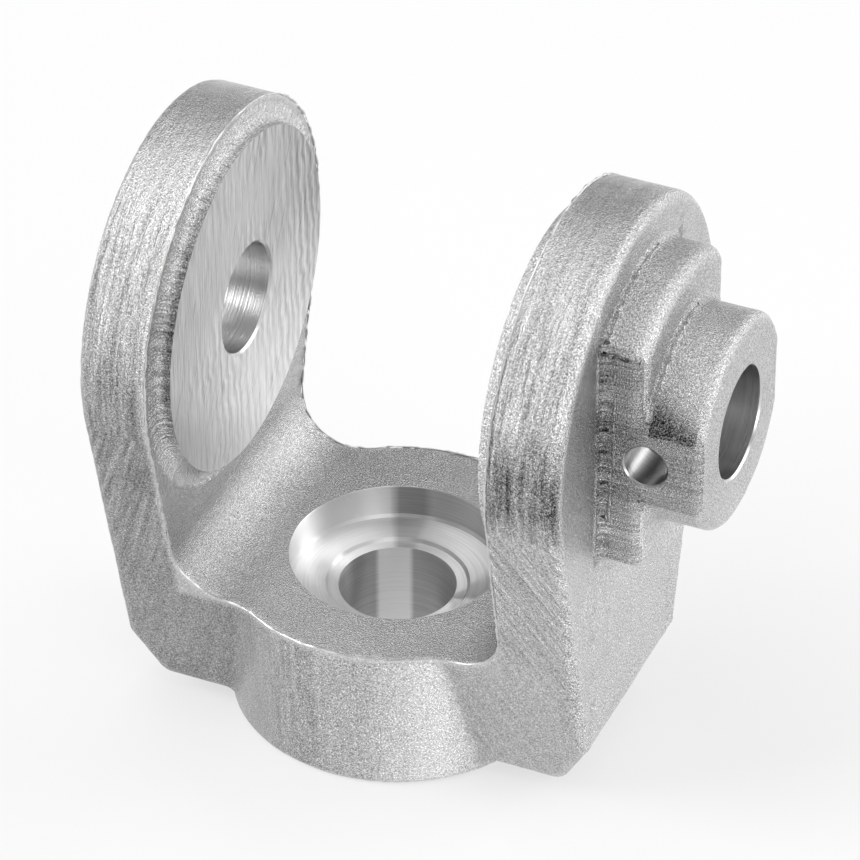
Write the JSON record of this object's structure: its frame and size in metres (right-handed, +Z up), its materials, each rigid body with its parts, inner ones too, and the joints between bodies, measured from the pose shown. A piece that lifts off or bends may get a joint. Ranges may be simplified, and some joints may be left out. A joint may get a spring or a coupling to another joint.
{
  "type": "pulley block yoke",
  "caption": "Cast U-shaped yoke for a pulley block: milled ears with a pin bore, stepped pin boss with flats and cross hole, round hub with a seated swivel bore.",
  "frame": {"origin": "centre of the hub's flat underside, on the axis of the swivel bore", "axes": "+Z up along the swivel bore, +X along the pin bore from the plain ear to the ear with the pin boss, -Y is the front"},
  "size_m": [0.0641, 0.043, 0.0669],
  "materials": {
    "cast_metal": "blasted as-cast skin, milled inner faces, bored holes"
  },
  "bodies": {
    "root": {"yoke": "cast_metal"}
  },
  "joints": []
}
